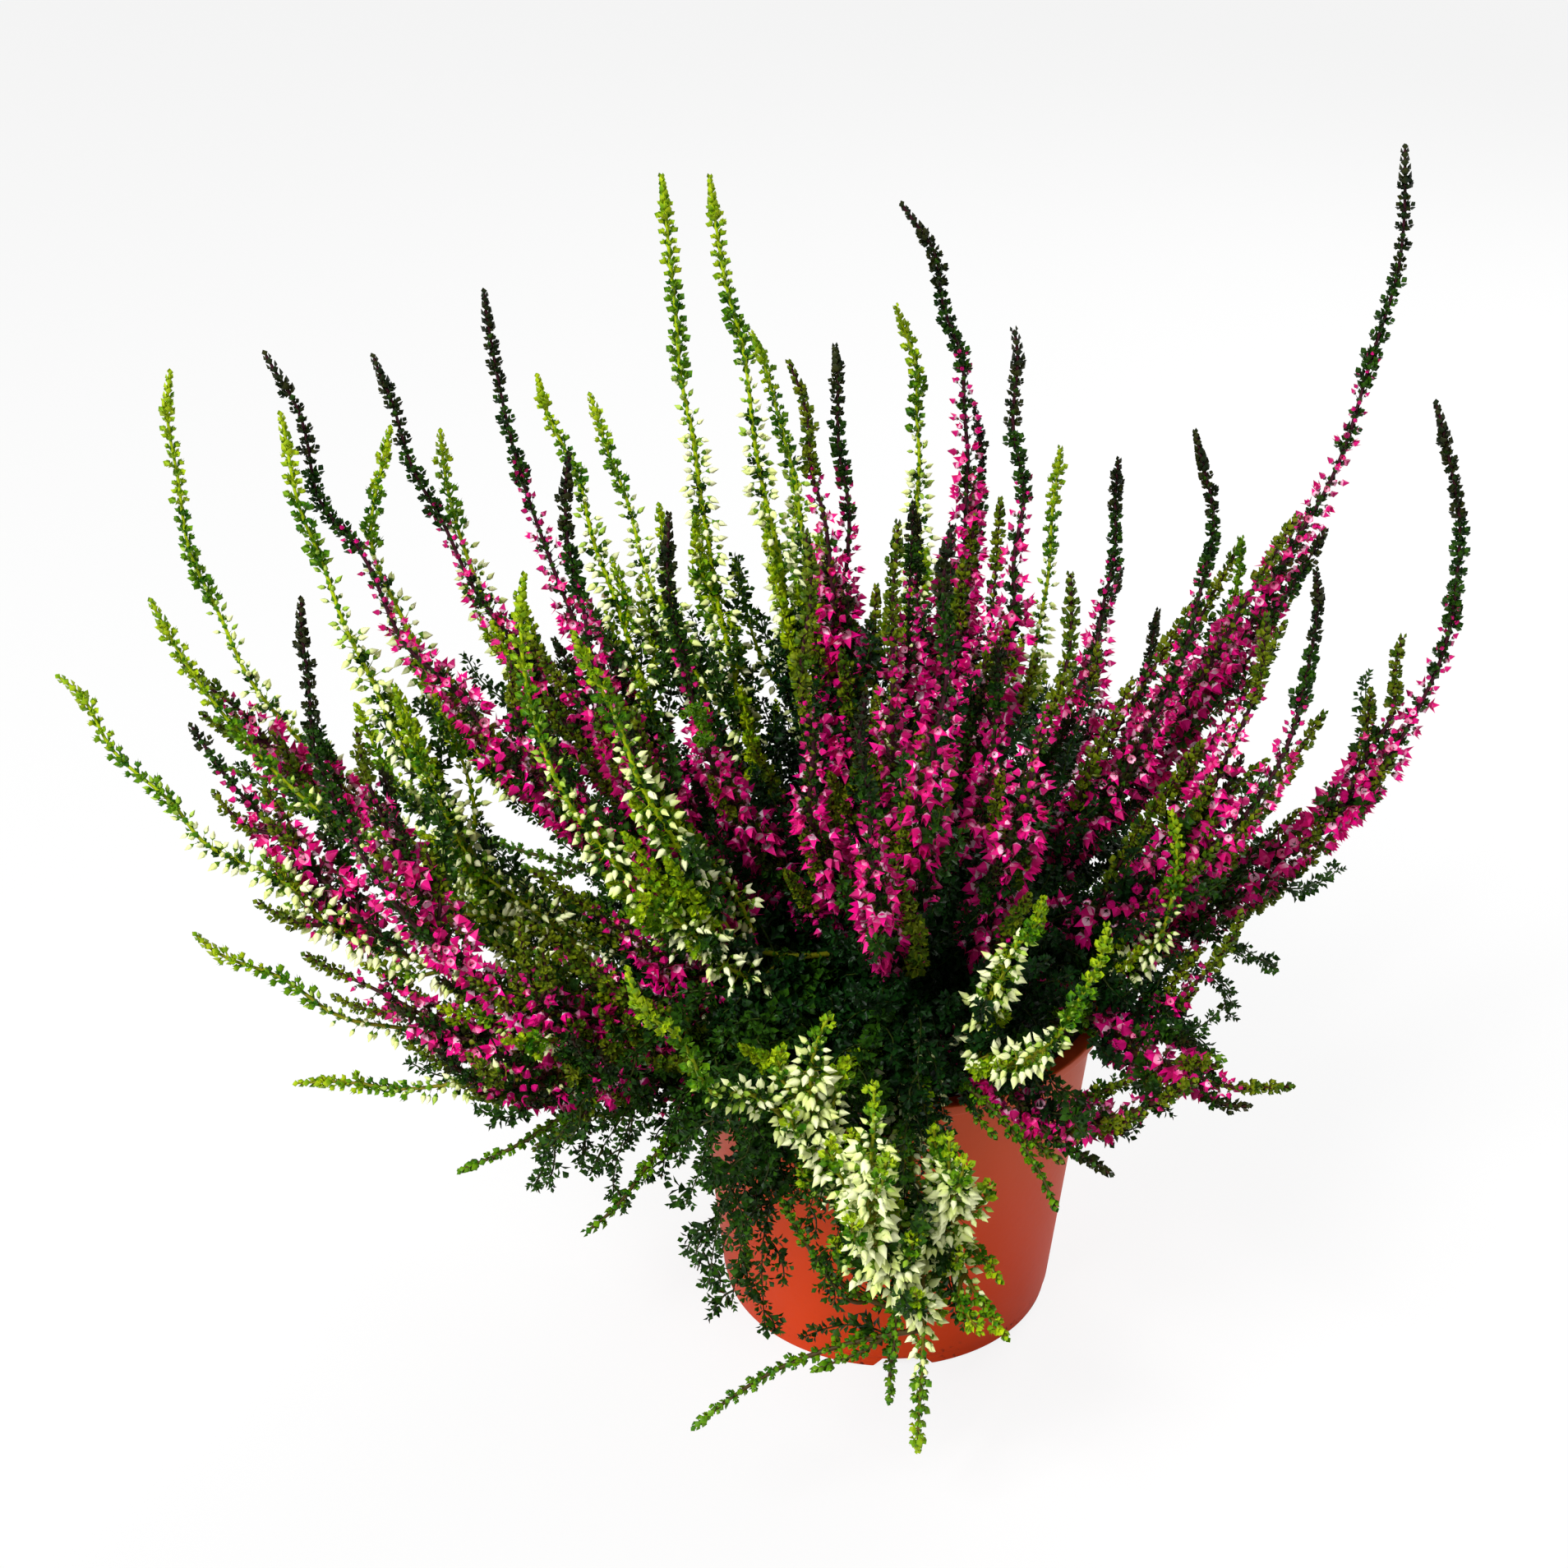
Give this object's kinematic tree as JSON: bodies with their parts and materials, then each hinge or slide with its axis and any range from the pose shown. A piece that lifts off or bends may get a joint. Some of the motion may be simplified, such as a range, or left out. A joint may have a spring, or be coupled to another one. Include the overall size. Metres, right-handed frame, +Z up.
{
  "type": "potted heather",
  "caption": "Bushy heather with pink and white flowering shoots, in a round terracotta-coloured plastic nursery pot.",
  "frame": {"origin": "middle of the pot's flat underside, on the ground", "axes": "+Z up; -Y is the front of the plant, as the picture sees it"},
  "size_m": [0.3643, 0.2985, 0.3321],
  "materials": {
    "pot_plastic": "satin moulded plastic, terracotta orange",
    "soil": "loose dark peat",
    "bark": "rough brown bark",
    "pink_heather": "dark stems, green leaves and magenta flowers",
    "white_heather": "lime stems, green leaves and cream buds",
    "green_heather": "deep green scale leaves"
  },
  "bodies": {
    "root": {"pot": "pot_plastic", "soil": "soil", "stem_000": "bark", "stem_030": "bark", "stem_060": "bark", "stem_090": "bark", "stem_120": "bark", "stem_150": "bark", "stem_180": "bark", "stem_210": "bark", "stem_240": "bark", "stem_270": "bark", "stem_300": "bark", "stem_330": "bark", "stem_inner_060": "bark", "stem_inner_180": "bark", "stem_inner_300": "bark", "foliage_000_upper": "pink_heather", "foliage_000_middle": "pink_heather", "foliage_000_skirt": "pink_heather", "foliage_030_upper": "pink_heather", "foliage_030_middle": "pink_heather", "foliage_030_skirt": "green_heather", "foliage_060_upper": "white_heather", "foliage_060_middle": "pink_heather", "foliage_060_skirt": "green_heather", "foliage_090_upper": "white_heather", "foliage_090_middle": "pink_heather", "foliage_090_skirt": "white_heather", "foliage_120_upper": "white_heather", "foliage_120_middle": "white_heather", "foliage_120_skirt": "green_heather", "foliage_150_upper": "white_heather", "foliage_150_middle": "pink_heather", "foliage_150_skirt": "white_heather", "foliage_180_upper": "pink_heather", "foliage_180_middle": "white_heather", "foliage_180_skirt": "green_heather", "foliage_210_upper": "pink_heather", "foliage_210_middle": "white_heather", "foliage_210_skirt": "white_heather", "foliage_240_upper": "white_heather", "foliage_240_middle": "pink_heather", "foliage_240_skirt": "white_heather", "foliage_270_upper": "pink_heather", "foliage_270_middle": "white_heather", "foliage_270_skirt": "white_heather", "foliage_300_upper": "pink_heather", "foliage_300_middle": "white_heather", "foliage_300_skirt": "pink_heather", "foliage_330_upper": "pink_heather", "foliage_330_middle": "white_heather", "foliage_330_skirt": "green_heather", "foliage_inner_060_upper": "pink_heather", "foliage_inner_060_middle": "pink_heather", "foliage_inner_180_upper": "pink_heather", "foliage_inner_180_middle": "pink_heather", "foliage_inner_300_upper": "pink_heather", "foliage_inner_300_middle": "pink_heather", "foliage_inner_300_skirt": "pink_heather"}
  },
  "joints": []
}
